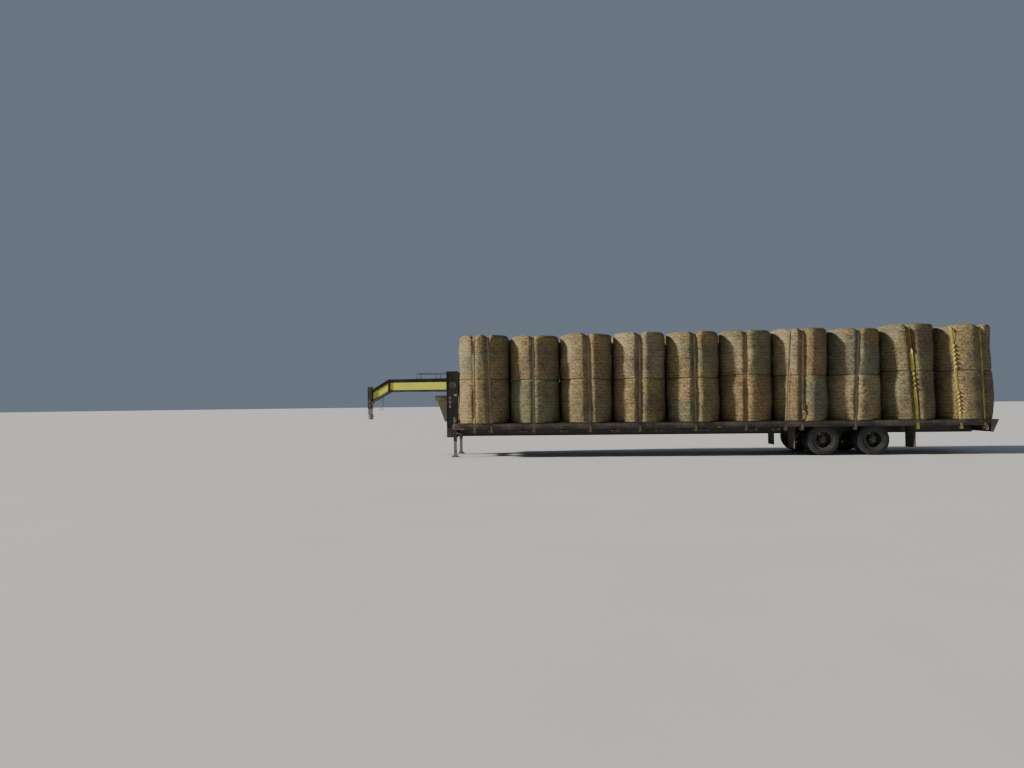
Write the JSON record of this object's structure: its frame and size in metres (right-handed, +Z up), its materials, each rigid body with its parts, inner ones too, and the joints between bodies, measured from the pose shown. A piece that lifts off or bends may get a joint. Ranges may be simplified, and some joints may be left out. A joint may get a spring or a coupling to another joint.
{
  "type": "gooseneck flatbed hay wagon with round bales",
  "caption": "Deck-over gooseneck flatbed trailer with pierced steel frame and twin wheels, loaded with round hay bales on end under webbing straps.",
  "frame": {"origin": "on the ground under the middle of the wagon's overall box", "axes": "+X to the rear, +Y to the right-hand side, +Z up; the coupler is at -X"},
  "size_m": [16.2854, 2.804, 3.323],
  "materials": {
    "black_paint": "dusty satin black",
    "neck_paint": "satin black with a bare yellow web",
    "box_paint": "faded olive grey",
    "dark_steel": "dirty and lightly rusted",
    "worn_steel": "worn, rust in the corners",
    "rim_paint": "dusty grey",
    "tyre_rubber": "dusty",
    "flap_rubber": "matt",
    "deck_wood": "weathered",
    "hay": "net-wrapped hay",
    "webbing": "woven webbing",
    "lamp_red": "glossy"
  },
  "bodies": {
    "chassis": {"crossmembers_front": "black_paint", "crossmembers_middle": "black_paint", "crossmembers_rear": "black_paint", "wheel_outriggers": "black_paint", "front_header": "black_paint", "rear_header": "black_paint", "rear_bumper": "black_paint", "deck_planks": "deck_wood", "riser_cross_members": "black_paint", "neck_beam_left": "neck_paint", "neck_beam_right": "neck_paint", "neck_ties": "black_paint", "coupler_outer": "black_paint", "coupler_inner": "worn_steel", "chain_tray": "black_paint", "tool_box": "box_paint", "jack_bodies": "black_paint", "jack_legs": "worn_steel", "jack_drive": "worn_steel", "axle_front": "dark_steel", "axle_rear": "dark_steel", "leaf_springs": "dark_steel", "spring_hangers": "black_paint", "equalizers": "dark_steel", "axle_clamps": "dark_steel", "mud_flaps": "flap_rubber", "lamps": "lamp_red", "load_straps": "webbing", "bales_lower": "hay", "bales_upper": "hay", "main_beam_left": "black_paint", "side_rail_left": "black_paint", "rub_rail_left": "black_paint", "stake_pockets_left": "black_paint", "riser_left": "black_paint", "winches_left": "worn_steel", "main_beam_right": "black_paint", "side_rail_right": "black_paint", "rub_rail_right": "black_paint", "stake_pockets_right": "black_paint", "riser_right": "black_paint", "winches_right": "worn_steel"},
    "tool_box_lid": {"tool_box_lid": "box_paint"},
    "wheel_front_left": {"hub_rims_front_left": "rim_paint", "tyres_front_left": "tyre_rubber"},
    "wheel_front_right": {"hub_rims_front_right": "rim_paint", "tyres_front_right": "tyre_rubber"},
    "wheel_rear_left": {"hub_rims_rear_left": "rim_paint", "tyres_rear_left": "tyre_rubber"},
    "wheel_rear_right": {"hub_rims_rear_right": "rim_paint", "tyres_rear_right": "tyre_rubber"}
  },
  "joints": [
    {"name": "wheel_front_left_turn", "type": "hinge", "parent": "chassis", "child": "wheel_front_left", "pos_m": [3.76775, -0.945, 0.395], "axis": [0, 1, 0], "continuous": true},
    {"name": "wheel_front_right_turn", "type": "hinge", "parent": "chassis", "child": "wheel_front_right", "pos_m": [3.76775, 0.945, 0.395], "axis": [0, 1, 0], "continuous": true},
    {"name": "wheel_rear_left_turn", "type": "hinge", "parent": "chassis", "child": "wheel_rear_left", "pos_m": [5.01475, -0.945, 0.395], "axis": [0, 1, 0], "continuous": true},
    {"name": "wheel_rear_right_turn", "type": "hinge", "parent": "chassis", "child": "wheel_rear_right", "pos_m": [5.01475, 0.945, 0.395], "axis": [0, 1, 0], "continuous": true},
    {"name": "tool_box_lid_hinge", "type": "hinge", "parent": "chassis", "child": "tool_box_lid", "pos_m": [-5.91525, 0, 1.629], "axis": [0, 1, 0], "range_deg": [0, 85]}
  ]
}
